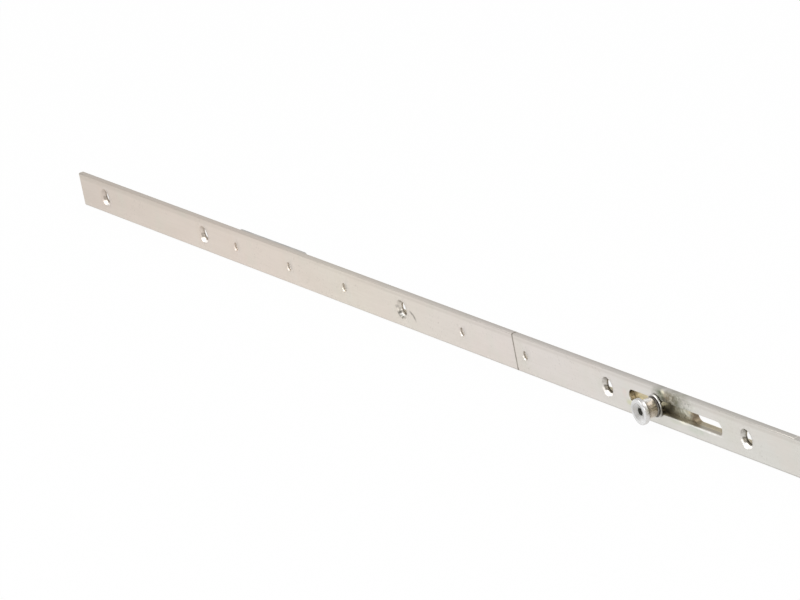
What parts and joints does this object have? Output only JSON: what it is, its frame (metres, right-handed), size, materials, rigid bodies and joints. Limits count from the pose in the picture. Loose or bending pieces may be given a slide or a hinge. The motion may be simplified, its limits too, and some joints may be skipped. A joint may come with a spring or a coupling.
{
  "type": "multipoint door lock",
  "caption": "Long flat faceplate lock: a handle gear slides drive bars with turned mushroom cams; central case with roller latch and deadbolt.",
  "frame": {"origin": "on the handle spindle's axis at mid thickness of the lock case", "axes": "+X along the lock towards its lower end, +Y from the faceplate into the door, +Z across the faceplate's width"},
  "size_m": [1.67, 0.0607, 0.016],
  "materials": {
    "zinc_plate": "bright zinc plated steel strip, fine rolled grain",
    "yellow_passivated": "zinc plated and yellow passivated steel, lightly greased",
    "turned_steel": "turned and nickel bright steel",
    "cast_metal": "die cast zinc alloy, tumbled",
    "spring_steel": "dark oiled spring steel",
    "nylon": "moulded black nylon"
  },
  "bodies": {
    "frame": {"case_body": "zinc_plate", "case_cover": "zinc_plate", "case_lugs": "cast_metal", "case_posts": "turned_steel", "case_screws": "turned_steel", "cover_screws": "turned_steel", "deadbolt_detent": "spring_steel", "deadbolt_guide": "nylon", "deadbolt_pin": "turned_steel", "detent_spring": "spring_steel", "end_guide_lower": "zinc_plate", "end_guide_upper": "zinc_plate", "faceplate_cam_lower": "zinc_plate", "faceplate_cam_upper": "zinc_plate", "faceplate_centre": "zinc_plate", "faceplate_end_lower": "zinc_plate", "faceplate_end_upper": "zinc_plate", "follower_bush_cover": "nylon", "follower_bush_tray": "nylon", "guide_studs": "turned_steel", "latch_guide": "nylon", "latch_rods": "turned_steel", "latch_springs": "spring_steel", "latch_stop": "turned_steel", "plate_rivets": "turned_steel", "splice_centre_lower": "zinc_plate", "splice_centre_upper": "zinc_plate", "splice_end_lower": "zinc_plate", "splice_end_upper": "zinc_plate", "splice_studs": "turned_steel"},
    "drive": {"drive_bar_upper": "yellow_passivated", "drive_bar_lower": "yellow_passivated", "rack_slide": "yellow_passivated", "coupling_rivets": "turned_steel"},
    "follower": {"follower": "cast_metal"},
    "latch": {"latch_carrier": "cast_metal", "latch_roller_pin": "turned_steel"},
    "latch_roller": {"latch_roller": "turned_steel"},
    "deadbolt": {"deadbolt": "cast_metal"},
    "cam_pin_upper": {"cam_pin_upper": "turned_steel", "cam_collar_upper": "turned_steel", "cam_washer_upper": "turned_steel"},
    "cam_sleeve_upper": {"cam_sleeve_upper": "turned_steel"},
    "cam_pin_lower": {"cam_pin_lower": "turned_steel", "cam_collar_lower": "turned_steel", "cam_washer_lower": "turned_steel"},
    "cam_sleeve_lower": {"cam_sleeve_lower": "turned_steel"}
  },
  "joints": [
    {"name": "bar_slide", "type": "slide", "parent": "frame", "child": "drive", "axis": [1, 0, 0], "range_m": [-0.005, 0.031]},
    {"name": "handle_turn", "type": "hinge", "parent": "frame", "child": "follower", "pos_m": [0, 0, 0], "axis": [0, 0, 1], "range_deg": [-12.74, 78.95]},
    {"name": "latch_push", "type": "slide", "parent": "frame", "child": "latch", "axis": [0, 1, 0], "range_m": [0, 0.008], "stiffness_N_per_m": 600, "springref_m": -0.01, "deforming": ["latch_springs"]},
    {"name": "latch_roller_spin", "type": "hinge", "parent": "latch", "child": "latch_roller", "pos_m": [-0.062, -0.0387, 0], "axis": [1, 0, 0], "continuous": true},
    {"name": "deadbolt_throw", "type": "slide", "parent": "frame", "child": "deadbolt", "axis": [0, -1, 0], "range_m": [0, 0.02]},
    {"name": "cam_adjust_upper", "type": "hinge", "parent": "drive", "child": "cam_pin_upper", "pos_m": [-0.3156, -0.035, 0], "axis": [0, -1, 0], "range_deg": [-90, 90]},
    {"name": "cam_sleeve_spin_upper", "type": "hinge", "parent": "cam_pin_upper", "child": "cam_sleeve_upper", "pos_m": [-0.315, -0.039, 0], "axis": [0, -1, 0], "continuous": true},
    {"name": "cam_adjust_lower", "type": "hinge", "parent": "drive", "child": "cam_pin_lower", "pos_m": [0.3184, -0.035, 0], "axis": [0, -1, 0], "range_deg": [-90, 90]},
    {"name": "cam_sleeve_spin_lower", "type": "hinge", "parent": "cam_pin_lower", "child": "cam_sleeve_lower", "pos_m": [0.319, -0.039, 0], "axis": [0, -1, 0], "continuous": true}
  ],
  "couplings": [
    {"joint": "handle_turn", "follows": "bar_slide", "rad_per_m": 44.444}
  ]
}
